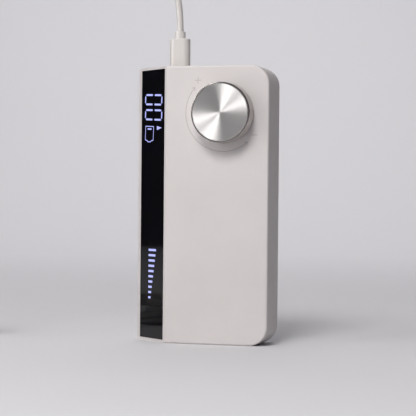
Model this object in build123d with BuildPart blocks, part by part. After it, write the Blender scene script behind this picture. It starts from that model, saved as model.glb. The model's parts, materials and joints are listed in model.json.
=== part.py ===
"""Portable electric nail drill: rechargeable control unit standing on its end, with its charging cable.

Millimetres. Origin at the middle of the bottom face, front towards -Y, +X to the right, +Z up.
"""
from build123d import *
import os
from math import cos, pi, radians, sin, tan

os.makedirs("parts", exist_ok=True)

# ---------------------------------------------------------------- driving dimensions
# Housing
width = 76.0
depth = 27.0
height = 145.0
wall = 2.0
bevel_across = 21.0
bevel_back = 17.5
right_corner = 10.0
left_corner = 1.2
back_round = 4.5
front_round = 1.0

left = -width / 2
right = width / 2
front = -depth / 2
back = depth / 2
inner_front = front + wall
inner_back = back - wall

# Parting line between the shells, in plan, from the right side to the left side
parting = [(right + wall, -1.1), (26.0, -1.1), (22.5, -4.6), (-20.0, -4.6), (-31.0, 6.0), (left - wall, 6.0)]
parting_gap = 0.15
lip_height = 1.0
lip_inset = 1.0
lip_clearance = 0.06

# Display strip, measured on the bevel: across from the left edge, and up
lens_left = 2.7
lens_right = 25.3
lens_bottom = 1.6
lens_top = 143.6
lens_clearance = 0.1
lens_inset = 0.1
lens_thickness = 1.0
adhesive_thickness = 0.2
pocket_depth = lens_inset + lens_thickness + adhesive_thickness
legend_depth = 0.15

# Lit marks on the display
digit_length = 17.0
digit_width = 5.9
digit_left = 5.9
digit_bottoms = (124.9, 116.9)
stroke = 0.95
middle_gap = 1.7
corner_gap = 0.45
mark_slant = -3.1
arrow_tip = 22.6
arrow_length = 4.8
arrow_half = 1.1
arrow_height = 112.8
cell_icon_left = 6.3
cell_icon_width = 8.3
cell_icon_bottom = 106.2
cell_icon_height = 7.9
cell_icon_line = 0.42
cell_icon_corner = 0.9
nub_width = 4.4
nub_height = 0.7
charge_bar_width = 3.8
charge_bar_height = 0.75
charge_bar_drop = 1.6
level_count = 10
level_left = 10.7
level_first = 2.2
level_last = 7.3
level_bottom = 23.1
level_pitch = 2.8
level_width = 1.15

# Light boxes and display board behind the lens
box_clearance = 0.2
upper_box = (5.0, 104.2, 24.4, 132.4)
lower_box = (9.6, 21.2, 19.2, 50.4)
box_depth = 4.5
board_gap = 0.05
display_board_thickness = 1.0
display_board = (4.2, 18.0, 23.4, 136.0)
led_size = (1.1, 0.7, 0.45)
ribbon_thickness = 0.3
ribbon_width = 8.0
ribbon_height = 100.0

# Knob and its encoder
knob_x = 14.6
knob_z = 120.1
knob_radius = 15.6
knob_gap = 0.8
knob_height = 10.0
knob_rim = 0.45
cap_radius = 14.85
cap_thickness = 1.2
cap_proud = 0.35
cap_chamfer = 0.3
skirt_thickness = 2.0
hub_radius = 5.0
push_travel = 0.5
shaft_radius = 3.0
shaft_flat = 1.5
running = 0.05
bushing_radius = 3.5
bushing_length = 5.5
nut_across_flats = 10.0
nut_thickness = 2.0
washer_radius = 6.0
washer_thickness = 0.5
encoder_size = 12.0
encoder_plate = 0.6
encoder_depth = 6.0
neck_radius = 2.0
neck_flat = 1.5
collar_radius = 4.0
collar_thickness = 0.5
rotor_radius = 4.9
rotor_thickness = 2.1
plunger_radius = 2.7
plunger_thickness = 0.6
dome_radius = 3.1
dome_height = 0.75
dome_thickness = 0.15

# Circular speed scale printed round the knob
scale_radius = 20.1
scale_line = 0.32
scale_from = 139.0
scale_to = 311.0
print_depth = 0.1
plus_at = (0.0, 137.3)
minus_at = (30.4, 108.8)
mark_length = 3.6
arrow_head = 1.8

# Main board
board_thickness = 1.6
board_front = inner_front + encoder_plate + encoder_depth
board_back = board_front + board_thickness
board_left = -18.1
board_right = 27.0
board_bottom = 87.0
board_top = 141.5
board_posts = [(-14.0, 90.5), (23.0, 90.5), (23.5, 138.5)]
board_post_radius = 2.0
board_screw_radius = 0.9

# Charging socket, handpiece socket
usb_x = -13.5
socket_width = 8.94
socket_thickness = 3.16
socket_sheet = 0.25
socket_bottom = 137.0
socket_top = 144.3
tongue_width = 6.7
tongue_thickness = 0.7
tongue_top = 142.6
usb_y = board_back + socket_thickness / 2
port_clearance = 0.25
jack_x = 14.0
jack_width = 8.0
jack_depth = 9.0
jack_bottom = 127.5
jack_top = 142.8
jack_mouth = 144.8
contact_thickness = 0.5
contact_radius = 1.5
jack_collar_radius = 3.6
jack_bore_radius = 1.8
jack_bore_length = 14.0
jack_y = board_back + jack_depth / 2

# Fasteners
shell_screws_at = [(-12.0, 7.0), (26.0, 7.0), (-13.0, 83.2), (31.2, 83.2), (31.0, 136.5)]
rear_post_radius = 3.0
front_boss_radius = 2.75
insert_radius = 2.0
insert_length = 5.0
screw_radius = 1.25
screw_length = 13.0
screw_head_radius = 2.25
screw_head = 1.6
screw_seat = 9.0
thread_clearance = 0.05

# Battery
cell_radius = 9.15
cell_length = 65.0
sleeve_thickness = 0.15
cell_bottom = 12.5
cell_y = 1.0
cells_x = (5.5, 25.0)
cradle_clearance = 0.1
cradle_wall = 1.7
strip_thickness = 0.15
lead_radius = 0.6

# Feet on the back
foot_radius = 4.5
foot_height = 0.8
feet_at = [(-27.0, 14.0), (27.0, 14.0), (-27.0, 131.0), (24.0, 131.0)]

# Charging cable
cable_diameter = 3.4
plug_width = 11.0
plug_thickness = 6.0
plug_bottom = 145.2
plug_top = 160.2
plug_edge = 0.7
collar_top = 163.9
collar_width = 5.7
plug_shell_width = 8.25
plug_shell_thickness = 2.4
plug_shell_bottom = 138.6
coil_x = -141.5
coil_y = -3.0
coil_inner_turn = 15.3
coil_outer_turn = 18.7
tie_width = 5.0
tie_thickness = 0.8
far_plug_length = 17.5
far_plug_width = 15.4
far_plug_thickness = 7.4
far_plug_edge = 1.6
far_shell_length = 12.0
far_shell_width = 12.0
far_shell_thickness = 4.5
far_shell_sheet = 0.3
far_collar_length = 2.0
far_collar_radius = 2.6


# ---------------------------------------------------------------- places and helpers
def facing_front(y):
    """A plane across the depth at y, drawn as seen from the front: X to the right, Z up."""
    return Plane(origin=(0, y, 0), x_dir=(1, 0, 0), z_dir=(0, -1, 0))


bevel_along = Vector(bevel_across, -bevel_back, 0).normalized()
bevel_out = Vector(-bevel_back, -bevel_across, 0).normalized()
bevel_corner = Vector(left, front + bevel_back, 0)


def on_bevel(inward):
    """The bevel's plane, moved inward: X from its left edge to its front edge, Y up."""
    return Plane(origin=bevel_corner - bevel_out * inward, x_dir=bevel_along, z_dir=bevel_out)


def bevel_box(near, far, box, grow=0.0):
    """A block behind the bevel between two depths; box is left, bottom, right, top."""
    x0, z0, x1, z1 = box
    with BuildPart() as block:
        with BuildSketch(on_bevel(far)):
            with Locations(((x0 + x1) / 2, (z0 + z1) / 2)):
                Rectangle(x1 - x0 + 2 * grow, z1 - z0 + 2 * grow)
        extrude(amount=far - near)
    return block.part


def disc(radius, y_front, y_back, x=knob_x, z=knob_z):
    """A round solid with its axis along Y."""
    with BuildPart() as solid:
        with BuildSketch(facing_front(y_back)):
            with Locations((x, z)):
                Circle(radius)
        extrude(amount=y_back - y_front)
    return solid.part


def flat_disc(radius, flat, y_front, y_back):
    """A round solid about the knob's axis with a flat on top, as on a D shaft."""
    with BuildPart() as solid:
        with BuildSketch(facing_front(y_back)):
            with Locations((knob_x, knob_z)):
                Circle(radius)
            with Locations((knob_x, knob_z + flat + radius)):
                Rectangle(4 * radius, 2 * radius, mode=Mode.SUBTRACT)
        extrude(amount=y_back - y_front)
    return solid.part


def upright_box(x_range, y_range, z_range):
    """A plain block between its limits."""
    centre = [sum(limits) / 2 for limits in (x_range, y_range, z_range)]
    size = [limits[1] - limits[0] for limits in (x_range, y_range, z_range)]
    with BuildPart() as block:
        with Locations(tuple(centre)):
            Box(*size)
    return block.part


def stadium(x, y, long_side, short_side, bottom, top):
    """An upright solid whose plan is a slot with round ends, long along X."""
    with BuildPart() as solid:
        with BuildSketch(Plane.XY.offset(bottom)):
            with Locations((x, y)):
                SlotOverall(long_side, short_side)
        extrude(amount=top - bottom)
    return solid.part


def housing_block(inset):
    """The housing's outer form, drawn in by inset on every side."""
    outline = [
        (left + bevel_across, front),
        (right, front),
        (right, back),
        (left, back),
        (left, front + bevel_back),
    ]
    with BuildPart() as block:
        with BuildSketch(Plane.XY.offset(inset)):
            with BuildLine():
                Polyline(*outline, close=True)
            make_face()
            if inset > 0:
                offset(amount=-inset, kind=Kind.INTERSECTION)
        extrude(amount=height - 2 * inset)
        fillet(block.edges().filter_by(Axis.Y).group_by(Axis.X)[-1], right_corner - inset)
        if inset < left_corner:
            fillet(block.edges().filter_by(Axis.Y).group_by(Axis.X)[0], left_corner - inset)
        fillet(block.faces().sort_by(Axis.Y)[-1].edges(), back_round - inset)
        if inset < front_round:
            fillet(block.faces().sort_by(Axis.Y)[0].edges(), front_round - inset)
    return block.part


def behind_parting(shift):
    """Everything behind the parting line, moved back by shift."""
    outline = [(x, y + shift) for x, y in parting]
    outline += [(left - wall, back + wall), (right + wall, back + wall)]
    with BuildPart() as mask:
        with BuildSketch(Plane.XY.offset(-wall)):
            with BuildLine():
                Polyline(*outline, close=True)
            make_face()
        extrude(amount=height + 2 * wall)
    return mask.part


outer_block = housing_block(0)
inner_block = housing_block(wall)
lip_block = housing_block(lip_inset)
rebate_block = housing_block(lip_inset - lip_clearance)

# ---------------------------------------------------------------- lit marks
def segment(length, upright=False):
    """One bar of a digit, pointed at both ends."""
    half = length / 2
    outline = [
        (-half, 0),
        (-half + stroke / 2, stroke / 2),
        (half - stroke / 2, stroke / 2),
        (half, 0),
        (half - stroke / 2, -stroke / 2),
        (-half + stroke / 2, -stroke / 2),
    ]
    if upright:
        outline = [(y, x) for x, y in reversed(outline)]
    with BuildSketch() as bar:
        with BuildLine():
            Polyline(*outline, close=True)
        make_face()
    return bar.sketch


# a zero lying on its side, about its own middle
side_length = (digit_length - stroke - middle_gap) / 2 - corner_gap
side_place = middle_gap / 2 + side_length / 2
end_length = digit_width - stroke - 2 * corner_gap
with BuildSketch() as zero:
    for edge in (-1, 1):
        for side in (-1, 1):
            with Locations((side * side_place, edge * (digit_width - stroke) / 2)):
                add(segment(side_length))
        with Locations((edge * (digit_length - stroke) / 2, 0)):
            add(segment(end_length, upright=True))

# a battery outline with its terminal below and one bar of charge, about its own middle
half_icon = cell_icon_width / 2
icon_top = cell_icon_height / 2
with BuildSketch() as cell_icon:
    with BuildLine():
        Polyline(
            (-half_icon, icon_top),
            (half_icon, icon_top),
            (half_icon, -icon_top + cell_icon_corner / 2),
            (half_icon - cell_icon_corner, -icon_top),
            (nub_width / 2, -icon_top),
            (nub_width / 2 - nub_height, -icon_top - nub_height),
            (-nub_width / 2 + nub_height, -icon_top - nub_height),
            (-nub_width / 2, -icon_top),
            (-half_icon + cell_icon_corner, -icon_top),
            (-half_icon, -icon_top + cell_icon_corner / 2),
            close=True,
        )
    make_face()
    offset(amount=-cell_icon_line, mode=Mode.SUBTRACT)
    with Locations((0, icon_top - charge_bar_drop)):
        Rectangle(charge_bar_width, charge_bar_height)

digit_middle = digit_left + digit_length / 2
cell_icon_middle = cell_icon_left + half_icon

with BuildSketch(on_bevel(lens_inset)) as legend:
    # two digits, their tops to the right, slanted as on such displays
    for digit_bottom in digit_bottoms:
        with Locations(Location((digit_middle, digit_bottom + digit_width / 2), mark_slant)):
            add(zero.sketch)
    # arrowhead that shows the direction of turning
    with BuildLine():
        Polyline(
            (arrow_tip, arrow_height),
            (arrow_tip - arrow_length, arrow_height + arrow_half),
            (arrow_tip - arrow_length, arrow_height - arrow_half),
            close=True,
        )
    make_face()
    with Locations(Location((cell_icon_middle, cell_icon_bottom + icon_top), mark_slant)):
        add(cell_icon.sketch)
    # speed level bars, growing upwards
    for level in range(level_count):
        level_length = level_first + (level_last - level_first) * level / (level_count - 1)
        with Locations((level_left + level_length / 2, level_bottom + level * level_pitch)):
            Rectangle(level_length, level_width)

# ---------------------------------------------------------------- printed scale round the knob
scale_middle = (knob_x - 1.0, knob_z + 0.3)
with BuildSketch(facing_front(front + print_depth)) as scale_print:
    with BuildLine():
        outer_arc = CenterArc(scale_middle, scale_radius + scale_line / 2, scale_from, scale_to - scale_from)
        inner_arc = CenterArc(scale_middle, scale_radius - scale_line / 2, scale_from, scale_to - scale_from)
        Line(outer_arc @ 0, inner_arc @ 0)
        Line(outer_arc @ 1, inner_arc @ 1)
    make_face()
    for end_angle, heading in ((scale_from, 1), (scale_to, -1)):
        tip = (
            scale_middle[0] + scale_radius * cos(radians(end_angle)),
            scale_middle[1] + scale_radius * sin(radians(end_angle)),
        )
        for spread in (-35, 35):
            back_angle = end_angle + heading * 90 + spread
            with Locations((
                tip[0] + arrow_head / 2 * cos(radians(back_angle)),
                tip[1] + arrow_head / 2 * sin(radians(back_angle)),
            )):
                Rectangle(arrow_head, scale_line, rotation=back_angle)
    with Locations(plus_at):
        Rectangle(mark_length, scale_line)
        Rectangle(scale_line, mark_length)
    with Locations(minus_at):
        Rectangle(mark_length, scale_line)

with BuildPart() as scale_marks:
    extrude(scale_print.sketch, amount=print_depth)

# ---------------------------------------------------------------- front shell
lens_pocket = bevel_box(
    -1.0,
    pocket_depth,
    (lens_left, lens_bottom, lens_right, lens_top),
    grow=lens_clearance,
)
with BuildPart() as front_shell:
    add(outer_block)
    add(inner_block, mode=Mode.SUBTRACT)
    # bosses that take the threaded inserts
    for x, z in shell_screws_at:
        add(disc(front_boss_radius, inner_front - wall / 2, 0, x, z))
        add(disc(insert_radius, -insert_length, 1, x, z), mode=Mode.SUBTRACT)
    # posts that carry the main board
    for x, z in board_posts:
        add(disc(board_post_radius, inner_front - wall / 2, board_front, x, z))
        add(disc(board_screw_radius, inner_front, board_front + 1, x, z), mode=Mode.SUBTRACT)
    add(outer_block, mode=Mode.INTERSECT)
    # only the wall ends at the parting line, so that the bosses keep their length
    add(behind_parting(-parting_gap / 2) - inner_block, mode=Mode.SUBTRACT)
    # rebate for the rear shell's lip
    rebate = behind_parting(-parting_gap / 2 - lip_height - lip_clearance) & rebate_block
    add(rebate - inner_block, mode=Mode.SUBTRACT)
    # pocket and windows for the display
    add(lens_pocket, mode=Mode.SUBTRACT)
    add(bevel_box(0, wall + 1, upper_box, grow=box_clearance), mode=Mode.SUBTRACT)
    add(bevel_box(0, wall + 1, lower_box, grow=box_clearance), mode=Mode.SUBTRACT)
    # hole for the encoder's bushing
    add(disc(bushing_radius + running, front - 1, inner_front + 1), mode=Mode.SUBTRACT)
    add(scale_marks.part, mode=Mode.SUBTRACT)

# ---------------------------------------------------------------- rear shell
with BuildPart() as rear_shell:
    add(outer_block & behind_parting(parting_gap / 2))
    add(lip_block & behind_parting(-parting_gap / 2 - lip_height))
    add(inner_block, mode=Mode.SUBTRACT)
    for x, z in shell_screws_at:
        add(disc(rear_post_radius, parting_gap, back - wall / 2, x, z))
        add(disc(screw_radius + thread_clearance, -1, back + 1, x, z), mode=Mode.SUBTRACT)
        add(disc(screw_head_radius + 0.3, screw_seat, back + 1, x, z), mode=Mode.SUBTRACT)
    # charging port and handpiece port in the top
    add(
        stadium(
            usb_x,
            usb_y,
            socket_width + 2 * port_clearance,
            socket_thickness + 2 * port_clearance,
            height - wall - 1,
            height + 1,
        ),
        mode=Mode.SUBTRACT,
    )
    with Locations((jack_x, jack_y, height)):
        Cylinder(jack_collar_radius + port_clearance, 4 * wall, mode=Mode.SUBTRACT)
    # shallow seats for the feet
    for x, z in feet_at:
        add(disc(foot_radius, back - 0.2, back + 1, x, z), mode=Mode.SUBTRACT)

with BuildPart() as rubber_feet:
    for x, z in feet_at:
        with BuildSketch(facing_front(back - 0.2)):
            with Locations((x, z)):
                Circle(foot_radius)
        extrude(amount=-(foot_height + 0.2))
    fillet(rubber_feet.edges().group_by(Axis.Y)[-1], 0.3)

# ---------------------------------------------------------------- fasteners
with BuildPart() as threaded_inserts:
    for x, z in shell_screws_at:
        with BuildSketch(facing_front(0)):
            with Locations((x, z)):
                Circle(insert_radius)
                Circle(screw_radius + thread_clearance, mode=Mode.SUBTRACT)
        extrude(amount=insert_length)

with BuildPart() as shell_screws:
    for x, z in shell_screws_at:
        with BuildSketch(facing_front(screw_seat)):
            with Locations((x, z)):
                Circle(screw_radius)
        extrude(amount=screw_length)
        with BuildSketch(facing_front(screw_seat)):
            with Locations((x, z)):
                Circle(screw_head_radius)
        extrude(amount=-screw_head)
    fillet(shell_screws.edges().filter_by(GeomType.CIRCLE).group_by(Axis.Y)[-1], 0.4)
    for x, z in shell_screws_at:
        with BuildSketch(facing_front(screw_seat + screw_head)):
            with Locations((x, z)):
                Rectangle(2.4, 0.5)
                Rectangle(0.5, 2.4)
        extrude(amount=0.9, mode=Mode.SUBTRACT)

with BuildPart() as board_screws:
    for x, z in board_posts:
        with BuildSketch(facing_front(board_back)):
            with Locations((x, z)):
                Circle(board_screw_radius - thread_clearance)
        extrude(amount=board_thickness + 4)
        with BuildSketch(facing_front(board_back)):
            with Locations((x, z)):
                Circle(1.7)
        extrude(amount=-1.2)
    for x, z in board_posts:
        with BuildSketch(facing_front(board_back + 1.2)):
            with Locations((x, z)):
                Rectangle(2.0, 0.4)
                Rectangle(0.4, 2.0)
        extrude(amount=0.7, mode=Mode.SUBTRACT)

# ---------------------------------------------------------------- display
lens_outline = (lens_left, lens_bottom, lens_right, lens_top)
with BuildPart() as display_legend:
    extrude(legend.sketch, amount=-legend_depth)

with BuildPart() as display_lens:
    add(bevel_box(lens_inset, lens_inset + lens_thickness, lens_outline))
    add(display_legend.part, mode=Mode.SUBTRACT)

with BuildPart() as lens_adhesive:
    add(bevel_box(lens_inset + lens_thickness, pocket_depth, lens_outline))
    for window in (upper_box, lower_box):
        add(bevel_box(0, wall, window, grow=box_clearance), mode=Mode.SUBTRACT)


def light_box(outline, slots):
    """A white block behind the lens with a light well for each lit mark."""
    with BuildPart() as block:
        add(bevel_box(pocket_depth, box_depth, outline))
        for slot in slots:
            add(bevel_box(0, box_depth + 1, slot), mode=Mode.SUBTRACT)
    return block.part


well = 0.75
upper_wells = []
for digit_bottom in digit_bottoms:
    digit_height = digit_bottom + digit_width / 2
    for edge in (-1, 1):
        row = digit_height + edge * (digit_width - stroke) / 2
        for side in (-side_place, side_place):
            middle = digit_middle + side
            upper_wells.append((middle - 3, row - well, middle + 3, row + well))
        column = digit_middle + edge * (digit_length - stroke) / 2
        upper_wells.append((column - well, digit_height - 1.6, column + well, digit_height + 1.6))
upper_wells.append((17.6, 111.6, 23.0, 114.2))
upper_wells.append((6.4, 105.2, 15.2, 114.2))
lower_wells = []
for level in range(level_count):
    row = level_bottom + level * level_pitch
    lower_wells.append((level_left - 0.2, row - well, level_left + level_last + 0.2, row + well))

with BuildPart() as display_light_box:
    add(light_box(upper_box, upper_wells))
with BuildPart() as level_light_box:
    add(light_box(lower_box, lower_wells))

board_face = box_depth + board_gap
with BuildPart() as display_circuit:
    add(bevel_box(board_face, board_face + display_board_thickness, display_board))

with BuildPart() as display_leds:
    led_long, led_short, led_tall = led_size
    for x0, z0, x1, z1 in upper_wells + lower_wells:
        led_middle = ((x0 + x1) / 2, (z0 + z1) / 2)
        upright = z1 - z0 > x1 - x0
        with BuildSketch(on_bevel(board_face)):
            with Locations(led_middle):
                Rectangle(led_short if upright else led_long, led_long if upright else led_short)
        extrude(amount=led_tall)

# flexible ribbon from the display board to the main board
ribbon_depth = board_face + display_board_thickness + ribbon_thickness / 2
ribbon_start = bevel_corner + bevel_along * 18.0 - bevel_out * ribbon_depth
ribbon_lead = ribbon_start - bevel_out * 1.6
with BuildPart() as display_ribbon:
    with BuildSketch(Plane.XY.offset(ribbon_height)):
        with BuildLine():
            ribbon_path = FilletPolyline(
                (ribbon_start.X, ribbon_start.Y),
                (ribbon_lead.X, ribbon_lead.Y),
                (board_left + 1.0, board_back + 0.9),
                (board_left + 2.5 - ribbon_thickness / 2, board_back + 0.9),
                radius=0.6,
            )
            offset(amount=ribbon_thickness / 2, side=Side.BOTH)
        make_face()
    extrude(amount=ribbon_width)

# ---------------------------------------------------------------- encoder
encoder_back = board_front
encoder_front = inner_front + encoder_plate
shaft_tip = front - knob_height + 1.4
rotor_front = encoder_front + 1.15
plunger_front = encoder_front + 3.9
cavity_floor = plunger_front + plunger_thickness + 0.9

with BuildPart() as encoder_body:
    with BuildSketch(facing_front(encoder_back)):
        with Locations((knob_x, knob_z)):
            Rectangle(encoder_size, encoder_size)
    extrude(amount=encoder_back - encoder_front)
    fillet(encoder_body.edges().filter_by(Axis.Y), 0.5)
    add(disc(rotor_radius + 0.2, encoder_front - 1, rotor_front + rotor_thickness + 0.15), mode=Mode.SUBTRACT)
    add(disc(dome_radius + 0.2, encoder_front - 1, cavity_floor), mode=Mode.SUBTRACT)

with BuildPart() as encoder_frame:
    with BuildSketch(facing_front(encoder_front)):
        with Locations((knob_x, knob_z)):
            Rectangle(encoder_size + 0.9, encoder_size)
    extrude(amount=encoder_plate)
    with BuildSketch(facing_front(encoder_front)):
        with Locations((knob_x, knob_z)):
            Circle(bushing_radius)
    extrude(amount=encoder_plate + bushing_length)
    # claws folded down both sides to the board
    for side in (-1, 1):
        claw_x = knob_x + side * (encoder_size / 2 + 0.25)
        add(upright_box(
            (claw_x - 0.2, claw_x + 0.2),
            (encoder_front, encoder_back),
            (knob_z - 1.6, knob_z + 1.6),
        ))
    add(disc(shaft_radius + running, shaft_tip, encoder_back), mode=Mode.SUBTRACT)

with BuildPart() as encoder_shaft:
    add(flat_disc(shaft_radius, shaft_flat, shaft_tip, shaft_tip + 4.6))
    add(disc(shaft_radius, shaft_tip + 4.6, encoder_front + 0.3))
    add(disc(collar_radius, encoder_front + 0.05, encoder_front + 0.05 + collar_thickness))
    add(flat_disc(neck_radius, neck_flat, encoder_front + collar_thickness, plunger_front - 0.05))

with BuildPart() as encoder_rotor:
    with BuildSketch(facing_front(rotor_front + rotor_thickness)):
        with Locations((knob_x, knob_z)):
            Circle(rotor_radius)
        # detent notches round the rim
        with Locations((knob_x, knob_z)):
            with PolarLocations(rotor_radius + 0.15, 24):
                Circle(0.3, mode=Mode.SUBTRACT)
    extrude(amount=rotor_thickness)
    rotor_back = rotor_front + rotor_thickness
    keyed_hole = flat_disc(neck_radius + running, neck_flat + running, rotor_front - 1, rotor_back + 1)
    add(keyed_hole, mode=Mode.SUBTRACT)

with BuildPart() as switch_plunger:
    add(disc(plunger_radius, plunger_front, plunger_front + plunger_thickness))

with BuildPart() as switch_dome:
    dome_base = cavity_floor - 0.02
    with BuildSketch(Plane.XY.offset(knob_z)):
        with BuildLine():
            outer_curve = ThreePointArc(
                (knob_x, dome_base - dome_height),
                (knob_x + dome_radius * 0.6, dome_base - dome_height * 0.68),
                (knob_x + dome_radius, dome_base),
            )
            inner_curve = ThreePointArc(
                (knob_x, dome_base - dome_height + dome_thickness),
                (knob_x + dome_radius * 0.55, dome_base - dome_height * 0.56),
                (knob_x + dome_radius - dome_thickness * 2, dome_base),
            )
            Line(outer_curve @ 0, inner_curve @ 0)
            Line(outer_curve @ 1, inner_curve @ 1)
        make_face()
    revolve(axis=Axis((knob_x, 0, knob_z), (0, 1, 0)))

pin_places = [(-2.5, -7.5), (0.0, -7.5), (2.5, -7.5), (-2.5, 7.0), (2.5, 7.0)]
with BuildPart() as encoder_pins:
    for x, z in pin_places:
        with BuildSketch(facing_front(board_back + 0.8)):
            with Locations((knob_x + x, knob_z + z)):
                Rectangle(0.8, 0.3)
        extrude(amount=board_thickness + 0.8 + 1.2)
        foot_z = knob_z + z
        body_z = knob_z + (encoder_size / 2 if z > 0 else -encoder_size / 2)
        add(upright_box(
            (knob_x + x - 0.4, knob_x + x + 0.4),
            (board_front - 1.2, board_front - 0.9),
            (min(foot_z, body_z), max(foot_z, body_z)),
        ))

with BuildPart() as encoder_washer:
    add(disc(washer_radius, front - washer_thickness, front))
    add(disc(bushing_radius, front - 5, front + 1), mode=Mode.SUBTRACT)

with BuildPart() as encoder_nut:
    nut_face = front - washer_thickness
    with BuildSketch(facing_front(nut_face)):
        with Locations((knob_x, knob_z)):
            RegularPolygon(nut_across_flats / 2, 6, major_radius=False)
            Circle(bushing_radius, mode=Mode.SUBTRACT)
    extrude(amount=nut_thickness)

# ---------------------------------------------------------------- knob
knob_back = front - knob_gap
knob_face = front - knob_height
hub_back = inner_front - bushing_length - push_travel - 0.2
cap_seat = knob_face + cap_thickness
rim_face = knob_face + cap_proud

with BuildPart() as knob_body:
    add(disc(knob_radius, rim_face, knob_back))
    fillet(knob_body.edges().filter_by(GeomType.CIRCLE).group_by(Axis.Y)[0], knob_rim)
    chamfer(knob_body.edges().filter_by(GeomType.CIRCLE).group_by(Axis.Y)[-1], 0.25)
    # seat for the cap
    add(disc(cap_radius + 0.02, knob_face - 1, cap_seat), mode=Mode.SUBTRACT)
    # hollow behind, round the hub
    with BuildSketch(facing_front(knob_back)):
        with Locations((knob_x, knob_z)):
            Circle(knob_radius - skirt_thickness)
            Circle(hub_radius, mode=Mode.SUBTRACT)
    extrude(amount=knob_back - cap_seat - 1.6, mode=Mode.SUBTRACT)
    add(disc(knob_radius - skirt_thickness, hub_back, knob_back + 1), mode=Mode.SUBTRACT)
    # ribs between hub and skirt
    with BuildSketch(facing_front(hub_back)):
        with Locations((knob_x, knob_z)):
            with PolarLocations((hub_radius + knob_radius - skirt_thickness) / 2, 6):
                Rectangle(knob_radius - skirt_thickness - hub_radius + 0.6, 1.0)
    extrude(amount=hub_back - cap_seat - 0.8)
    add(flat_disc(shaft_radius, shaft_flat, shaft_tip, hub_back + 1), mode=Mode.SUBTRACT)

with BuildPart() as knob_cap:
    add(disc(cap_radius, knob_face, cap_seat))
    chamfer(knob_cap.edges().filter_by(GeomType.CIRCLE).group_by(Axis.Y)[0], cap_chamfer)

# ---------------------------------------------------------------- main board and what is on it
with BuildPart() as main_board:
    add(upright_box((board_left, board_right), (board_front, board_back), (board_bottom, board_top)))
    fillet(main_board.edges().filter_by(Axis.Y), 1.0)
    for x, z in board_posts:
        add(disc(board_screw_radius + 0.2, board_front - 1, board_back + 1, x, z), mode=Mode.SUBTRACT)
    for x, z in pin_places:
        add(disc(0.55, board_front - 1, board_back + 1, knob_x + x, knob_z + z), mode=Mode.SUBTRACT)

with BuildPart() as controller_chip:
    add(upright_box((-11.5, -4.5), (board_back, board_back + 1.1), (114.5, 121.5)))
    chamfer(controller_chip.edges().group_by(Axis.Y)[-1], 0.2)

with BuildPart() as driver_chips:
    for x, z in ((1.0, 118.0), (22.0, 112.0), (22.0, 120.0)):
        add(upright_box((x - 2.5, x + 2.5), (board_back, board_back + 1.3), (z - 3, z + 3)))

with BuildPart() as inductor:
    add(upright_box((-2.0, 5.0), (board_back, board_back + 3.8), (101.5, 108.5)))
    fillet(inductor.edges().filter_by(Axis.Y), 1.6)

with BuildPart() as capacitors:
    for x in (12.0, 20.0):
        add(disc(3.15, board_back, board_back + 7.7, x, 98.0))

with BuildPart() as battery_header:
    add(upright_box((-8.0, 0.5), (board_back, board_back + 5.5), (89.5, 95.5)))
with BuildPart() as battery_plug:
    add(upright_box((-7.4, -0.1), (board_back + 0.6, board_back + 4.9), (84.6, 89.5)))

with BuildPart() as ribbon_connector:
    add(upright_box(
        (board_left + 2.5, board_left + 5.5),
        (board_back, board_back + 1.6),
        (ribbon_height - 1, ribbon_height + ribbon_width + 1),
    ))

with BuildPart() as usb_socket:
    add(stadium(usb_x, usb_y, socket_width, socket_thickness, socket_bottom, socket_top))
    add(
        stadium(
            usb_x,
            usb_y,
            socket_width - 2 * socket_sheet,
            socket_thickness - 2 * socket_sheet,
            socket_bottom + 0.4,
            socket_top + 1,
        ),
        mode=Mode.SUBTRACT,
    )

with BuildPart() as usb_tongue:
    add(upright_box(
        (usb_x - tongue_width / 2, usb_x + tongue_width / 2),
        (usb_y - tongue_thickness / 2, usb_y + tongue_thickness / 2),
        (socket_bottom + 0.4, tongue_top),
    ))

with BuildPart() as handpiece_socket:
    add(upright_box(
        (jack_x - jack_width / 2, jack_x + jack_width / 2),
        (board_back, board_back + jack_depth),
        (jack_bottom, jack_top),
    ))
    with Locations((jack_x, jack_y, (jack_top + jack_mouth) / 2)):
        Cylinder(jack_collar_radius, jack_mouth - jack_top)
    with Locations((jack_x, jack_y, jack_mouth)):
        Cylinder(jack_bore_radius, 2 * jack_bore_length, mode=Mode.SUBTRACT)
    with Locations((jack_x, jack_y, jack_mouth - jack_bore_length - contact_thickness / 2)):
        Cylinder(contact_radius, contact_thickness, mode=Mode.SUBTRACT)

with BuildPart() as socket_contact:
    with Locations((jack_x, jack_y, jack_mouth - jack_bore_length - contact_thickness / 2)):
        Cylinder(contact_radius, contact_thickness)

# ---------------------------------------------------------------- battery
cell_top = cell_bottom + cell_length


def battery_cell(x, terminal_up):
    """One round cell without its sleeve, its raised terminal at the top or the bottom."""
    core_radius = cell_radius - sleeve_thickness
    with BuildPart() as cell:
        low = cell_bottom + 0.2 if terminal_up else cell_bottom + 0.9
        high = cell_top - 0.9 if terminal_up else cell_top - 0.2
        with BuildSketch(Plane.XY.offset(low)):
            with Locations((x, cell_y)):
                Circle(core_radius)
        extrude(amount=high - low)
        fillet(cell.edges().filter_by(GeomType.CIRCLE), 0.5)
        with BuildSketch(Plane.XY.offset(high if terminal_up else low)):
            with Locations((x, cell_y)):
                Circle(3.0)
        extrude(amount=0.7 if terminal_up else -0.7)
    return cell.part


with BuildPart() as left_cell:
    add(battery_cell(cells_x[0], True))
with BuildPart() as right_cell:
    add(battery_cell(cells_x[1], False))

with BuildPart() as cell_sleeves:
    for x in cells_x:
        with BuildSketch(Plane.XY.offset(cell_bottom)):
            with Locations((x, cell_y)):
                Circle(cell_radius)
                Circle(cell_radius - sleeve_thickness, mode=Mode.SUBTRACT)
        extrude(amount=cell_length)

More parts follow.
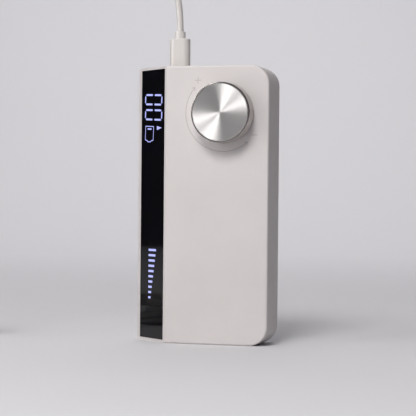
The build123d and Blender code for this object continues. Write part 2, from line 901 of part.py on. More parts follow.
with BuildPart() as cell_insulators:
    for x, z in ((cells_x[0], cell_top - 0.4), (cells_x[1], cell_bottom + 0.2)):
        with BuildSketch(Plane.XY.offset(z)):
            with Locations((x, cell_y)):
                Circle(cell_radius - 0.9)
                Circle(3.6, mode=Mode.SUBTRACT)
        extrude(amount=0.2)

strip_half = 3.5
with BuildPart() as nickel_strips:
    add(upright_box(
        (cells_x[0] - strip_half, cells_x[1] + strip_half),
        (cell_y - strip_half - 3, cell_y - 0.5),
        (cell_bottom - strip_thickness, cell_bottom),
    ))
    for x in cells_x:
        add(upright_box(
            (x - strip_half, x + strip_half),
            (cell_y - strip_half - 3, cell_y - 0.5),
            (cell_top, cell_top + strip_thickness),
        ))

with BuildPart() as battery_cradle:
    add(upright_box(
        (cells_x[0] - cell_radius - cradle_wall, right - wall - 0.2),
        (cell_y, inner_back - 0.1),
        (cell_bottom - cradle_wall, cell_top + cradle_wall),
    ))
    for x in cells_x:
        with BuildSketch(Plane.XY.offset(cell_bottom - 0.3)):
            with Locations((x, cell_y)):
                Circle(cell_radius + cradle_clearance)
        extrude(amount=cell_length + 0.6, mode=Mode.SUBTRACT)
    add(
        upright_box(
            (cells_x[0], cells_x[1]),
            (cell_y - 1, inner_back - 1.6),
            (cell_bottom - 0.3, cell_top + 0.3),
        ),
        mode=Mode.SUBTRACT,
    )
    add(inner_block, mode=Mode.INTERSECT)

with BuildPart() as foam_pad:
    add(upright_box(
        (cells_x[0] - 7, cells_x[1] + 7),
        (inner_front, cell_y - cell_radius - 0.1),
        (cell_bottom + 10, cell_top - 10),
    ))

lead_start = cell_top + strip_thickness
plug_under = (battery_plug.part.bounding_box().min.Z, board_back + 2.7)


def lead(points):
    """One insulated wire along its route."""
    with BuildPart() as wire:
        with BuildLine() as path:
            FilletPolyline(*points, radius=1.2)
        with BuildSketch(Plane(origin=path.line @ 0, z_dir=path.line % 0)):
            Circle(lead_radius)
        sweep()
    return wire.part


with BuildPart() as positive_lead:
    add(lead([
        (cells_x[0], cell_y - 3.4, lead_start),
        (cells_x[0], cell_y - 3.4, lead_start + 2.6),
        (-2.2, plug_under[1] - 0.4, lead_start + 3.0),
        (-2.2, plug_under[1] - 0.4, plug_under[0]),
    ]))
with BuildPart() as negative_lead:
    add(lead([
        (cells_x[1], cell_y - 5.6, lead_start),
        (cells_x[1], cell_y - 5.6, lead_start + 2.6),
        (-5.4, cell_y - 5.6, lead_start + 2.6),
        (-5.4, plug_under[1] - 0.4, lead_start + 3.2),
        (-5.4, plug_under[1] - 0.4, plug_under[0]),
    ]))

# ---------------------------------------------------------------- charging cable
cable_radius = cable_diameter / 2

with BuildPart() as plug_shell:
    add(stadium(usb_x, usb_y, plug_shell_width, plug_shell_thickness, plug_shell_bottom, plug_bottom))
    add(
        stadium(
            usb_x,
            usb_y,
            plug_shell_width - 2 * socket_sheet,
            plug_shell_thickness - 2 * socket_sheet,
            plug_shell_bottom - 1,
            plug_bottom - 1,
        ),
        mode=Mode.SUBTRACT,
    )

with BuildPart() as plug_grip:
    add(stadium(usb_x, usb_y, plug_width, plug_thickness, plug_bottom, plug_top))
    fillet(plug_grip.edges().group_by(Axis.Z)[-1], plug_edge)
    fillet(plug_grip.edges().group_by(Axis.Z)[0], plug_edge / 3)

with BuildPart() as plug_collar:
    with BuildSketch(Plane.XY.offset(plug_top)):
        with Locations((usb_x, usb_y)):
            Ellipse(collar_width / 2, collar_width / 2 - 0.35)
    extrude(amount=collar_top - plug_top)
    fillet(plug_collar.edges().group_by(Axis.Z)[-1], 0.4)

# Route of the cable from the plug over to the left and down on to the coil's outer turns
cable_route = [
    (usb_x, usb_y, collar_top),
    (usb_x, usb_y, 190.2),
    (-34.9, -4.6, 219.2),
    (-69.6, -9.4, 231.4),
    (-104.4, -14.4, 220.0),
    (-125.4, -17.8, 189.6),
    (-128.2, -19.6, 150.0),
    (-128.6, -20.8, 108.0),
    (-127.2, -21.5, 69.0),
    (-124.2, -21.7, 42.0),
    (coil_x + 20.3, coil_y - 18.0, 24.0),
    (coil_x + 21.5, coil_y - 14.6, 15.4),
    (coil_x + 22.0, coil_y - 8.4, 10.6),
    (coil_x + 21.5, coil_y - 0.8, 8.6),
    (coil_x + 19.0, coil_y + 6.6, 7.2),
]


def bend_radii(points):
    """As large an arc at each corner as its two runs allow."""
    radii = []
    for before, corner, after in zip(points, points[1:], points[2:]):
        run_in = Vector(*corner) - Vector(*before)
        run_out = Vector(*after) - Vector(*corner)
        half_turn = radians(run_in.get_angle(run_out)) / 2
        radii.append(0.45 * min(run_in.length, run_out.length) / tan(half_turn))
    return radii


def cable_along(points):
    """A tube of the cable's section along straight runs joined by tangent arcs."""
    with BuildPart() as tube:
        with BuildLine() as path:
            FilletPolyline(*points, radius=bend_radii(points))
        with BuildSketch(Plane(origin=path.line @ 0, z_dir=path.line % 0)):
            Circle(cable_radius)
        sweep()
    length = path.wire().length
    section = pi * cable_radius**2
    volume = tube.part.volume
    print(f"cable: length {length:.1f}, volume {volume:.0f}, section times length {section * length:.0f}")
    print("  bend radii", [round(radius, 1) for radius in bend_radii(points)])
    return tube.part


with BuildPart() as charging_cable:
    add(cable_along(cable_route))

# The coil has two layers of turns, and a third on its inner ones
coil_low = 2 * cable_diameter
coil_high = 3 * cable_diameter
coil_inside = coil_inner_turn - cable_radius
coil_outside = coil_outer_turn + cable_radius
coil_shoulder = coil_inner_turn + cable_radius
with BuildPart() as cable_coil:
    with BuildSketch(Plane.XZ.offset(-coil_y)):
        with BuildLine():
            Polyline(
                (coil_x + coil_inside, 0),
                (coil_x + coil_outside, 0),
                (coil_x + coil_outside, coil_low),
                (coil_x + coil_shoulder, coil_high),
                (coil_x + coil_inside, coil_high),
                close=True,
            )
        make_face()
    revolve(axis=Axis((coil_x, coil_y, 0), (0, 0, 1)))

# The last of the cable rises off the top of the coil and turns back into the far plug, which lies on it
far_plug_rear = coil_x - 0.4
far_plug_y = coil_y + 14.8
far_plug_z = coil_high + 0.1 + far_plug_thickness / 2
far_collar_rear = far_plug_rear + far_collar_length
tail_route = [
    (coil_x - 2.7, coil_y - 15.4, 8.5),
    (coil_x + 2.7, coil_y - 15.4, 9.0),
    (coil_x + 8.1, coil_y - 14.2, 10.6),
    (coil_x + 12.9, coil_y - 11.4, 11.6),
    (coil_x + 16.5, coil_y - 7.2, 12.1),
    (coil_x + 18.3, coil_y - 2.0, 12.6),
    (coil_x + 18.2, coil_y + 3.5, 13.0),
    (coil_x + 16.0, coil_y + 8.6, 13.4),
    (coil_x + 12.2, coil_y + 12.3, 13.7),
    (coil_x + 7.6, coil_y + 14.2, 13.9),
    (coil_x + 3.9, far_plug_y, far_plug_z),
    (far_collar_rear, far_plug_y, far_plug_z),
]
with BuildPart() as cable_tail:
    add(cable_along(tail_route))

with BuildPart() as far_plug_grip:
    add(upright_box(
        (far_plug_rear - far_plug_length, far_plug_rear),
        (far_plug_y - far_plug_width / 2, far_plug_y + far_plug_width / 2),
        (far_plug_z - far_plug_thickness / 2, far_plug_z + far_plug_thickness / 2),
    ))
    fillet(far_plug_grip.edges().filter_by(Axis.X), far_plug_edge)
    fillet(far_plug_grip.edges().group_by(Axis.X)[-1], far_plug_edge / 2)

with BuildPart() as far_plug_collar:
    with BuildSketch(Plane(origin=(far_plug_rear, far_plug_y, far_plug_z), z_dir=(1, 0, 0))):
        Circle(far_collar_radius)
    extrude(amount=far_collar_length)

far_shell_end = far_plug_rear - far_plug_length - far_shell_length
with BuildPart() as far_plug_shell:
    half_width = far_shell_width / 2
    half_thick = far_shell_thickness / 2
    add(upright_box(
        (far_shell_end, far_shell_end + far_shell_length),
        (far_plug_y - half_width, far_plug_y + half_width),
        (far_plug_z - half_thick, far_plug_z + half_thick),
    ))
    add(
        upright_box(
            (far_shell_end - 1, far_shell_end + far_shell_length - 1),
            (far_plug_y - half_width + far_shell_sheet, far_plug_y + half_width - far_shell_sheet),
            (far_plug_z - half_thick + far_shell_sheet, far_plug_z + half_thick - far_shell_sheet),
        ),
        mode=Mode.SUBTRACT,
    )

with BuildPart() as far_plug_tongue:
    add(upright_box(
        (far_shell_end + 0.6, far_shell_end + far_shell_length - 1),
        (far_plug_y - half_width + far_shell_sheet, far_plug_y + half_width - far_shell_sheet),
        (far_plug_z + 0.1, far_plug_z + half_thick - far_shell_sheet),
    ))

tie_at = radians(225)
with BuildPart() as cable_tie:
    tie_plane = Plane(
        origin=(coil_x, coil_y, 0),
        x_dir=(cos(tie_at), sin(tie_at), 0),
        z_dir=(sin(tie_at), -cos(tie_at), 0),
    )
    with BuildSketch(tie_plane.offset(-tie_width / 2)):
        with BuildLine():
            Polyline(
                (coil_inside - tie_thickness, 0),
                (coil_outside + tie_thickness, 0),
                (coil_outside + tie_thickness, coil_low + tie_thickness / 2),
                (coil_shoulder + tie_thickness / 2, coil_high + tie_thickness),
                (coil_inside - tie_thickness, coil_high + tie_thickness),
                close=True,
            )
        make_face()
        with BuildLine():
            Polyline(
                (coil_inside, tie_thickness),
                (coil_outside, tie_thickness),
                (coil_outside, coil_low),
                (coil_shoulder, coil_high),
                (coil_inside, coil_high),
                close=True,
            )
        make_face(mode=Mode.SUBTRACT)
    extrude(amount=tie_width)

# ---------------------------------------------------------------- hand over
pieces = {
    "front_shell": front_shell,
    "rear_shell": rear_shell,
    "rubber_feet": rubber_feet,
    "threaded_inserts": threaded_inserts,
    "shell_screws": shell_screws,
    "board_screws": board_screws,
    "scale_marks": scale_marks,
    "display_lens": display_lens,
    "display_legend": display_legend,
    "lens_adhesive": lens_adhesive,
    "display_light_box": display_light_box,
    "level_light_box": level_light_box,
    "display_circuit": display_circuit,
    "display_leds": display_leds,
    "display_ribbon": display_ribbon,
    "encoder_body": encoder_body,
    "encoder_frame": encoder_frame,
    "encoder_shaft": encoder_shaft,
    "encoder_rotor": encoder_rotor,
    "encoder_pins": encoder_pins,
    "encoder_washer": encoder_washer,
    "encoder_nut": encoder_nut,
    "switch_plunger": switch_plunger,
    "switch_dome": switch_dome,
    "knob_body": knob_body,
    "knob_cap": knob_cap,
    "main_board": main_board,
    "controller_chip": controller_chip,
    "driver_chips": driver_chips,
    "inductor": inductor,
    "capacitors": capacitors,
    "battery_header": battery_header,
    "battery_plug": battery_plug,
    "ribbon_connector": ribbon_connector,
    "usb_socket": usb_socket,
    "usb_tongue": usb_tongue,
    "handpiece_socket": handpiece_socket,
    "socket_contact": socket_contact,
    "left_cell": left_cell,
    "right_cell": right_cell,
    "cell_sleeves": cell_sleeves,
    "cell_insulators": cell_insulators,
    "nickel_strips": nickel_strips,
    "battery_cradle": battery_cradle,
    "foam_pad": foam_pad,
    "positive_lead": positive_lead,
    "negative_lead": negative_lead,
    "plug_shell": plug_shell,
    "plug_grip": plug_grip,
    "plug_collar": plug_collar,
    "charging_cable": charging_cable,
    "cable_coil": cable_coil,
    "cable_tail": cable_tail,
    "cable_tie": cable_tie,
    "far_plug_grip": far_plug_grip,
    "far_plug_collar": far_plug_collar,
    "far_plug_shell": far_plug_shell,
    "far_plug_tongue": far_plug_tongue,
}
for name, piece in pieces.items():
    piece.part.label = name
    export_step(piece.part, f"parts/{name}.step")
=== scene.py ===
"""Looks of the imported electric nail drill: camera, cable, materials and lights.

Metres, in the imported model's frame: the front faces -Y and the unit stands on Z = 0.
"""
import json
import math

import bmesh
import bpy
from mathutils import Matrix, Vector


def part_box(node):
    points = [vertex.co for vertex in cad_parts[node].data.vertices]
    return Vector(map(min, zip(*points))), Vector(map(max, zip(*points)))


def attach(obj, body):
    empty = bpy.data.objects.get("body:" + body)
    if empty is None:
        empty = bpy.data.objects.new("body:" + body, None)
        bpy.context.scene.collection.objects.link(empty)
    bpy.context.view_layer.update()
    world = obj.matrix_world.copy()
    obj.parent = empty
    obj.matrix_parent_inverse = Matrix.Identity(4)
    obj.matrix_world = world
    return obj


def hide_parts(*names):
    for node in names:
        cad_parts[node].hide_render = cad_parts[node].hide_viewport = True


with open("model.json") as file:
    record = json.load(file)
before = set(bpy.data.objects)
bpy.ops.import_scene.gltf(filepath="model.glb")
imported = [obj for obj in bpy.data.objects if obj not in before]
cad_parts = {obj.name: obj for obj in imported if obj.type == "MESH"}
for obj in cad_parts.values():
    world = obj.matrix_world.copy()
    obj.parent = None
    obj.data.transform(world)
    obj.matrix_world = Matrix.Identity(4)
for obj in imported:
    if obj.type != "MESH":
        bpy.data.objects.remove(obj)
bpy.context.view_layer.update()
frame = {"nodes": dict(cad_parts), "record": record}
nodes = frame["nodes"]
scene = bpy.context.scene
MM = 0.001

# ---------------------------------------------------------------- places taken from the frame
cap_low, cap_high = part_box("knob_cap")
knob_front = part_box("knob_body")[0].y
coil_low, coil_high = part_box("cable_coil")

cap_middle = (cap_low + cap_high) / 2
coil_middle = (coil_low + coil_high) / 2


# ---------------------------------------------------------------- scene helpers
def add_object(name, data):
    made = bpy.data.objects.new(name, data)
    scene.collection.objects.link(made)
    return made


def aim(thing, place, target):
    """Puts a light or a card at a place, with its working side towards the target."""
    thing.location = place
    direction = Vector(target) - Vector(place)
    thing.rotation_euler = direction.to_track_quat("-Z", "Y").to_euler()


# ---------------------------------------------------------------- camera
camera_place = (0.22603, -0.78176, 0.07802)
camera_turn = math.radians(15.983)
camera_tilt = math.radians(89.495)
camera_roll = math.radians(0.531)

camera_data = bpy.data.cameras.new("camera")
camera_data.lens = 133.34
camera_data.sensor_width = 36.0
camera_data.clip_start = 0.05
camera_data.clip_end = 20.0
camera = add_object("camera", camera_data)
camera.matrix_world = (
    Matrix.Translation(camera_place)
    @ Matrix.Rotation(camera_turn, 4, "Z")
    @ Matrix.Rotation(camera_tilt, 4, "X")
    @ Matrix.Rotation(camera_roll, 4, "Z")
)
scene.camera = camera


# ---------------------------------------------------------------- node helpers
class Shader:
    """A material's nodes, with the Principled shader's plain values set on its own sockets."""

    # nearly all of a noise texture's values lie in this range
    NOISE_LOW, NOISE_HIGH = 0.3, 0.7

    def __init__(self, name, colour, roughness, **values):
        self.material = bpy.data.materials.new(name)
        self.material.use_nodes = True
        self.tree = self.material.node_tree
        self.bsdf = self.tree.nodes["Principled BSDF"]
        self.bsdf.inputs["Base Color"].default_value = (*colour, 1.0)
        self.bsdf.inputs["Roughness"].default_value = roughness
        for socket, value in values.items():
            self.bsdf.inputs[socket.replace("_", " ")].default_value = value
        self.material.diffuse_color = (*colour, 1.0)

    def node(self, kind, **settings):
        made = self.tree.nodes.new(kind)
        for name, value in settings.items():
            setattr(made, name, value)
        return made

    def link(self, source, target):
        self.tree.links.new(source, target)

    def place(self):
        """The point's place in the frame, which a body's motion carries along."""
        return self.node("ShaderNodeTexCoord").outputs["Object"]

    def stretched_place(self, scale):
        """The place with each axis scaled, which draws a noise out along the axes below 1."""
        made = self.node("ShaderNodeMapping")
        made.inputs["Scale"].default_value = scale
        self.link(self.place(), made.inputs["Vector"])
        return made.outputs["Vector"]

    def split(self, vector):
        """A vector's X, Y and Z outputs, by name."""
        made = self.node("ShaderNodeSeparateXYZ")
        self.link(vector, made.inputs["Vector"])
        return made.outputs

    def join(self, **parts):
        """A vector made of the outputs that are given for X, Y and Z, and of 0 for the rest."""
        made = self.node("ShaderNodeCombineXYZ")
        for axis, value in parts.items():
            self.link(value, made.inputs[axis])
        return made.outputs["Vector"]

    def vector_math(self, operation, vector):
        made = self.node("ShaderNodeVectorMath", operation=operation)
        self.link(vector, made.inputs[0])
        return made

    def map_range(self, value, from_low, from_high, to_low, to_high):
        made = self.node("ShaderNodeMapRange")
        made.inputs["From Min"].default_value = from_low
        made.inputs["From Max"].default_value = from_high
        made.inputs["To Min"].default_value = to_low
        made.inputs["To Max"].default_value = to_high
        self.link(value, made.inputs["Value"])
        return made.outputs["Result"]

    def noise(self, scale, detail=3.0, roughness=0.55, place=None):
        made = self.node("ShaderNodeTexNoise")
        made.inputs["Scale"].default_value = scale
        made.inputs["Detail"].default_value = detail
        made.inputs["Roughness"].default_value = roughness
        self.link(place or self.place(), made.inputs["Vector"])
        return made.outputs["Fac"]

    def vary_roughness(self, value, low, high):
        spread = self.map_range(value, self.NOISE_LOW, self.NOISE_HIGH, low, high)
        self.link(spread, self.bsdf.inputs["Roughness"])

    def vary_colour(self, value, first, second):
        ramp = self.node("ShaderNodeValToRGB")
        ends = ramp.color_ramp.elements
        ends[0].position, ends[1].position = self.NOISE_LOW, self.NOISE_HIGH
        ends[0].color = (*first, 1.0)
        ends[1].color = (*second, 1.0)
        self.link(value, ramp.inputs["Fac"])
        self.link(ramp.outputs["Color"], self.bsdf.inputs["Base Color"])

    def bump(self, value, strength, distance):
        made = self.node("ShaderNodeBump")
        made.inputs["Strength"].default_value = strength
        made.inputs["Distance"].default_value = distance
        self.link(value, made.inputs["Height"])
        self.link(made.outputs["Normal"], self.bsdf.inputs["Normal"])


def shade(colour, factor):
    return tuple(min(1.0, c * factor) for c in colour)


# ---------------------------------------------------------------- materials
# A noise's scale is in cells per metre, so a grain of 2600 is about 0.4 mm across.
def moulded(name, colour, roughness, grain=2600.0, depth=0.03 * MM):
    """Moulded plastic: fine spark texture, faint mottling, slightly uneven gloss."""
    mottle_scale, gloss_scale = 38.0, 140.0
    variation = 0.03
    s = Shader(name, colour, roughness)
    mottle = s.noise(mottle_scale, detail=4.0)
    s.vary_colour(mottle, shade(colour, 1 - variation), shade(colour, 1 + variation))
    s.vary_roughness(s.noise(gloss_scale), roughness - 0.04, roughness + 0.05)
    s.bump(s.noise(grain, detail=2.0), strength=0.35, distance=depth)
    return s.material


def glossy(name, colour, roughness, **values):
    """Polished plastic or film: sharp reflections with a very slight unevenness."""
    tint_scale, gloss_scale, ripple_scale = 60.0, 220.0, 90.0
    s = Shader(name, colour, roughness, **values)
    s.vary_colour(s.noise(tint_scale), shade(colour, 0.9), shade(colour, 1.1))
    s.vary_roughness(s.noise(gloss_scale, detail=4.0), roughness * 0.7, roughness * 1.5)
    s.bump(s.noise(ripple_scale, detail=2.0), strength=0.2, distance=0.004 * MM)
    return s.material


def metal(name, colour, roughness, stretch=(1.0, 1.0, 1.0)):
    """Bare metal with a directional or even fine grain."""
    grain_scale = 900.0
    s = Shader(name, colour, roughness, Metallic=1.0)
    grain = s.noise(grain_scale, place=s.stretched_place(stretch))
    s.vary_colour(grain, shade(colour, 0.94), shade(colour, 1.05))
    s.vary_roughness(grain, roughness - 0.06, roughness + 0.07)
    s.bump(grain, strength=0.3, distance=0.01 * MM)
    return s.material


def turned_metal(name, colour, middle):
    """Face turned on a lathe: fine rings round the knob's axis, and streaks from its middle."""
    roughness, roughness_change = 0.38, 0.05
    ring_scale = 5200.0
    s = Shader(name, colour, roughness, Metallic=1.0, Anisotropic=0.86)
    from_middle = s.vector_math("SUBTRACT", s.place())
    from_middle.inputs[1].default_value = middle
    offset = s.split(from_middle.outputs["Vector"])
    # the tangent runs round the axis
    negative = s.node("ShaderNodeMath", operation="MULTIPLY")
    negative.inputs[1].default_value = -1.0
    s.link(offset["Z"], negative.inputs[0])
    round_axis = s.join(X=negative.outputs["Value"], Z=offset["X"])
    tangent = s.vector_math("NORMALIZE", round_axis)
    s.link(tangent.outputs["Vector"], s.bsdf.inputs["Tangent"])
    # rings: noise along the radius alone
    radius = s.vector_math("LENGTH", s.join(X=offset["X"], Z=offset["Z"])).outputs["Value"]
    rings = s.noise(ring_scale, detail=4.0, roughness=0.7, place=s.join(X=radius))
    s.vary_colour(rings, shade(colour, 0.95), shade(colour, 1.03))
    s.vary_roughness(rings, roughness - roughness_change, roughness + roughness_change)
    s.bump(rings, strength=0.12, distance=0.004 * MM)
    return s.material


def knob_metal(name):
    """The knob's turned body: a satin side wall, and a polished front ring darkened by painted
    shade.
    """
    wall_colour, wall_roughness = (0.62, 0.585, 0.57), 0.45
    # the front ring's darker colour is painted shade, for the shadow in the recess round the
    # cap
    painted_shade_ring_colour, ring_roughness = (0.26, 0.24, 0.23), 0.25
    painted_shade_starts = knob_front + 0.45 * MM
    painted_shade_blend = 0.2 * MM
    groove_scale, groove_stretch = 6000.0, (0.15, 1.0, 0.15)
    s = Shader(name, wall_colour, wall_roughness, Metallic=0.85)
    depth = s.split(s.place())["Y"]
    # mask of the painted shade at the body's front rim
    in_painted_shade = s.map_range(depth, painted_shade_starts, painted_shade_starts - painted_shade_blend, 0.0, 1.0)
    colour = s.node("ShaderNodeMix", data_type="RGBA")
    colour.inputs["A"].default_value = (*wall_colour, 1.0)
    colour.inputs["B"].default_value = (*painted_shade_ring_colour, 1.0)
    s.link(in_painted_shade, colour.inputs["Factor"])
    s.link(colour.outputs["Result"], s.bsdf.inputs["Base Color"])
    roughness = s.map_range(in_painted_shade, 0.0, 1.0, wall_roughness, ring_roughness)
    s.link(roughness, s.bsdf.inputs["Roughness"])
    grooves = s.noise(groove_scale, place=s.stretched_place(groove_stretch))
    s.bump(grooves, strength=0.05, distance=0.003 * MM)
    return s.material


def lit(name, colour, strength):
    """Light through a window in the lens."""
    s = Shader(name, (0.02, 0.02, 0.03), 0.3, Emission_Strength=strength)
    s.bsdf.inputs["Emission Color"].default_value = (*colour, 1.0)
    s.bump(s.noise(300.0), strength=0.1, distance=0.005 * MM)
    return s.material


shell_colour = (0.60, 0.565, 0.56)
cable_colour = (0.60, 0.57, 0.55)
along_z = (1.0, 1.0, 0.15)

finishes = {
    "shell_plastic": moulded("shell_plastic", shell_colour, 0.46),
    "lens_black": glossy("lens_black", (0.004, 0.0037, 0.005), 0.04, IOR=1.35),
    "display_light": lit("display_light", (0.46, 0.50, 1.0), 1.1),
    "scale_print": moulded("scale_print", (0.38, 0.35, 0.345), 0.5),
    "white_plastic": moulded("white_plastic", (0.80, 0.80, 0.78), 0.4),
    "black_plastic": moulded("black_plastic", (0.02, 0.02, 0.021), 0.45),
    "circuit_board": glossy("circuit_board", (0.01, 0.10, 0.035), 0.3),
    "chip_black": moulded("chip_black", (0.013, 0.013, 0.014), 0.5),
    "led_lamp": glossy("led_lamp", (0.85, 0.80, 0.55), 0.2),
    "ribbon_film": glossy("ribbon_film", (0.45, 0.20, 0.03), 0.3),
    "adhesive_tape": moulded("adhesive_tape", (0.02, 0.02, 0.02), 0.8),
    "foam": moulded("foam", (0.05, 0.05, 0.05), 0.9, grain=700.0, depth=0.2 * MM),
    "rubber_dark": moulded("rubber_dark", (0.028, 0.028, 0.029), 0.7, grain=1500.0),
    "brass": metal("brass", (0.60, 0.40, 0.14), 0.35),
    "screw_steel": metal("screw_steel", (0.45, 0.45, 0.46), 0.32),
    "sheet_steel": metal("sheet_steel", (0.56, 0.56, 0.57), 0.35, along_z),
    "knob_aluminium": knob_metal("knob_aluminium"),
    "cap_aluminium": turned_metal("cap_aluminium", (0.70, 0.68, 0.665), tuple(cap_middle)),
    "nickel": metal("nickel", (0.60, 0.57, 0.52), 0.25),
    "cell_can": metal("cell_can", (0.50, 0.51, 0.52), 0.35, stretch=(1.0, 1.0, 0.1)),
    "cell_sleeve": glossy("cell_sleeve", (0.03, 0.12, 0.30), 0.28),
    "insulator_paper": moulded("insulator_paper", (0.70, 0.66, 0.52), 0.85, grain=900.0),
    "capacitor_can": metal("capacitor_can", (0.55, 0.55, 0.56), 0.35),
    "ferrite": moulded("ferrite", (0.045, 0.045, 0.047), 0.6),
    "wire_red": glossy("wire_red", (0.45, 0.01, 0.01), 0.35),
    "wire_black": glossy("wire_black", (0.015, 0.015, 0.015), 0.35),
    "cable_white": moulded("cable_white", cable_colour, 0.42, grain=1800.0),
    "plug_white": moulded("plug_white", cable_colour, 0.40),
    "plug_metal": metal("plug_metal", (0.56, 0.56, 0.57), 0.3, along_z),
}

slot_of = {entry["node"]: entry["material_slot"] for entry in frame["record"]["subparts"]}
for name, node in nodes.items():
    node.data.materials.clear()
    node.data.materials.append(finishes[slot_of[name]])


# ---------------------------------------------------------------- cable
cable_diameter = 3.4 * MM
# The route, the coil and the tail are in millimetres, and follow the CAD cable's middle line.
cx = coil_middle.x / MM
cy = coil_middle.y / MM

# from the plug to the coil
route = [
    (-13.5, -1.72, 163.9),
    (-13.5, -1.72, 190.2),
    (-34.9, -4.6, 219.2),
    (-69.6, -9.4, 231.4),
    (-104.4, -14.4, 220.0),
    (-125.4, -17.8, 189.6),
    (-128.2, -19.6, 150.0),
    (-128.6, -20.8, 108.0),
    (-127.2, -21.5, 69.0),
    (-124.2, -21.7, 42.0),
    (cx + 20.3, cy - 18.0, 24.0),
    (cx + 21.5, cy - 14.6, 15.4),
    (cx + 22.0, cy - 8.4, 10.6),
    (cx + 21.5, cy - 0.8, 8.6),
    (cx + 19.0, cy + 6.6, 7.2),
]
# from the top of the coil to the far plug
tail = [
    (cx - 2.7, cy - 15.4, 8.5),
    (cx + 2.7, cy - 15.4, 9.0),
    (cx + 8.1, cy - 14.2, 10.6),
    (cx + 12.9, cy - 11.4, 11.6),
    (cx + 16.5, cy - 7.2, 12.1),
    (cx + 18.3, cy - 2.0, 12.6),
    (cx + 18.2, cy + 3.5, 13.0),
    (cx + 16.0, cy + 8.6, 13.4),
    (cx + 12.2, cy + 12.3, 13.7),
    (cx + 7.6, cy + 14.2, 13.9),
    (cx + 3.9, cy + 14.8, 14.0),
    (cx + 1.6, cy + 14.8, 14.0),
]

# The coil: radii in millimetres, and places round it as degrees travelled since its start
inner_turn = 15.3
outer_turn = 18.7
full_turn = 360
turn_step = 20
coil_starts, coil_ends = 40, 1680
first_fall, second_fall, fall_width = -25, 335, 90
crossing, crossing_width = 275, 60
climbs = 3


def eased(share):
    share = min(1.0, max(0.0, share))
    return share * share * (3 - 2 * share)


def in_coil(angle):
    """Radius and height of the cable's middle line at an angle.

    It glides on to the outer upper turn, runs down to the outer lower one, moves in to the
    inner one, and then climbs a diameter each time it comes round to the same crossing.
    """
    step = cable_diameter / MM
    floor = step / 2
    radius = outer_turn
    height = floor + 2 * step - step * eased((angle - first_fall) / fall_width)
    if angle > second_fall:
        height = floor + step - step * eased((angle - second_fall) / fall_width)
    moves_in = crossing + full_turn
    if angle > moves_in:
        share = min(1.0, (angle - moves_in) / crossing_width)
        radius = inner_turn + step * math.cos(math.pi / 2 * share)
        height = floor
    for climb in range(climbs):
        start = moves_in + full_turn * (climb + 1)
        if angle > start:
            share = min(1.0, (angle - start) / crossing_width)
            radius = inner_turn
            height = floor + step * (climb + math.sin(math.pi / 2 * share))
    return radius, height


turns = []
for angle in range(coil_starts, coil_ends + 1, turn_step):
    radius, height = in_coil(angle)
    reach = radius / math.cos(math.radians(turn_step / 2))
    around = math.radians(angle)
    turns.append((cx + reach * math.cos(around), cy + reach * math.sin(around), height))


def smooth_curve(name, points_mm, bevel):
    curve = bpy.data.curves.new(name, "CURVE")
    curve.dimensions = "3D"
    curve.bevel_depth = bevel
    curve.bevel_resolution = 6
    curve.resolution_u = 10
    curve.use_fill_caps = True
    spline = curve.splines.new("NURBS")
    spline.points.add(len(points_mm) - 1)
    for point, place in zip(spline.points, points_mm):
        point.co = (*(Vector(place) * MM), 1.0)
    spline.order_u = 3
    spline.use_endpoint_u = True
    return add_object(name, curve)


cable = smooth_curve("cable", route + turns + tail, cable_diameter / 2)
cable.data.materials.append(finishes["cable_white"])
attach(cable, "housing")
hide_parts("charging_cable", "cable_coil", "cable_tail")

# ---------------------------------------------------------------- floor and backdrop
# One paper sheet: a floor that sweeps up into a wall, square to the camera's direction
paper_front = -14.0
paper_half_width = 14.0
wall_top = 2.4
sweep_starts = 1.15
sweep_radius = 0.5
sweep_steps = 12

sweep_profile = [(paper_front, 0.0), (sweep_starts, 0.0)]
for step in range(1, sweep_steps + 1):
    turn = math.pi / 2 * step / sweep_steps
    back = sweep_starts + sweep_radius * math.sin(turn)
    up = sweep_radius * (1 - math.cos(turn))
    sweep_profile.append((back, up))
sweep_profile.append((sweep_starts + sweep_radius, wall_top))

backdrop_mesh = bpy.data.meshes.new("backdrop")
bm = bmesh.new()
rows = [
    [bm.verts.new((x, y, z)) for x in (-paper_half_width, paper_half_width)]
    for y, z in sweep_profile
]
for near, far in zip(rows, rows[1:]):
    bm.faces.new((near[0], near[1], far[1], far[0]))
for face in bm.faces:
    face.smooth = True
bm.to_mesh(backdrop_mesh)
bm.free()

backdrop = add_object("backdrop", backdrop_mesh)
backdrop.rotation_euler.z = camera_turn
paper = Shader("backdrop_paper", (0.67, 0.66, 0.68), 0.75)
paper.bump(paper.noise(400.0), strength=0.1, distance=0.02 * MM)
backdrop.data.materials.append(paper.material)

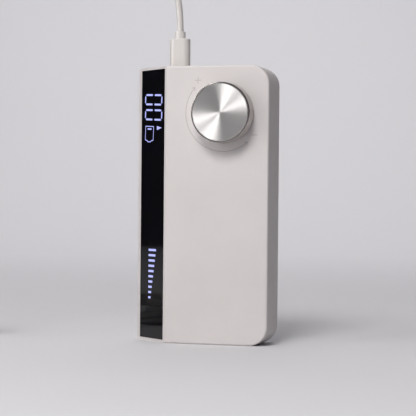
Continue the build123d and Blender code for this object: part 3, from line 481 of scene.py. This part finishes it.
# A black card to the left of the set, which only reflections see: the bevel mirrors it
card_half_width, card_half_height = 0.45, 0.6
card_mesh = bpy.data.meshes.new("left_card")
card_mesh.from_pydata(
    [
        (-card_half_width, -card_half_height, 0),
        (card_half_width, -card_half_height, 0),
        (card_half_width, card_half_height, 0),
        (-card_half_width, card_half_height, 0),
    ],
    [],
    [(0, 1, 2, 3)],
)
card_black = Shader("card_black", (0.002, 0.002, 0.002), 0.9, Specular_IOR_Level=0.0)
card_black.bump(card_black.noise(200.0), strength=0.1, distance=0.02 * MM)
card_mesh.materials.append(card_black.material)
left_card = add_object("left_card", card_mesh)
aim(left_card, (-0.9, 0.02, 0.62), (0.0, 0.02, 0.62))
left_card.visible_camera = False
left_card.visible_diffuse = False
left_card.visible_shadow = False
left_card.visible_transmission = False


# ---------------------------------------------------------------- lights
def area_light(name, place, target, size, power, colour=(1.0, 1.0, 1.0)):
    data = bpy.data.lights.new(name, "AREA")
    data.shape = "RECTANGLE"
    data.size, data.size_y = size
    data.energy = power
    data.color = colour
    light = add_object(name, data)
    aim(light, place, target)
    return light


# powers are in watts, and all but the wall's light point near the housing's middle
middle = (0.0, 0.0, 0.07)
warm_white = (1.0, 0.985, 0.97)
soft_white = (1.0, 0.99, 0.98)

# two lights for the shapes and shadows, which reflections don't see
key_light = area_light(
    "key_light", (-0.85, -0.95, 0.70), middle, size=(0.8, 0.8), power=4.4, colour=warm_white
)
steep_light = area_light(
    "steep_light", (-0.02, -1.0, 0.95), middle, size=(0.45, 0.5), power=12.9, colour=soft_white
)
key_light.visible_glossy = False
steep_light.visible_glossy = False

# one from above, and one for the wall behind
area_light("top_light", (-0.45, 0.35, 1.5), middle, size=(1.0, 0.8), power=2.4)
area_light(
    "backdrop_light", (-0.25, 1.05, 1.3), (-0.35, 1.8, 0.35), size=(1.6, 0.3), power=10.5
)

# two lights that only reflections see, for the streaks across the turned disc
streak_size = (0.4, 0.4)
for name, place, power in (
    ("upper_streak_light", (-0.66, -0.90, 1.00), 11.8),
    ("left_streak_light", (-0.98, -0.80, 0.45), 11.6),
):
    streak_light = area_light(name, place, middle, streak_size, power)
    streak_light.visible_diffuse = False

world = bpy.data.worlds.new("world")
world.use_nodes = True
ambient = world.node_tree.nodes["Background"]
ambient.inputs["Color"].default_value = (0.93, 0.92, 1.0, 1.0)
ambient.inputs["Strength"].default_value = 0.11
scene.world = world
scene.view_settings.view_transform = "Standard"
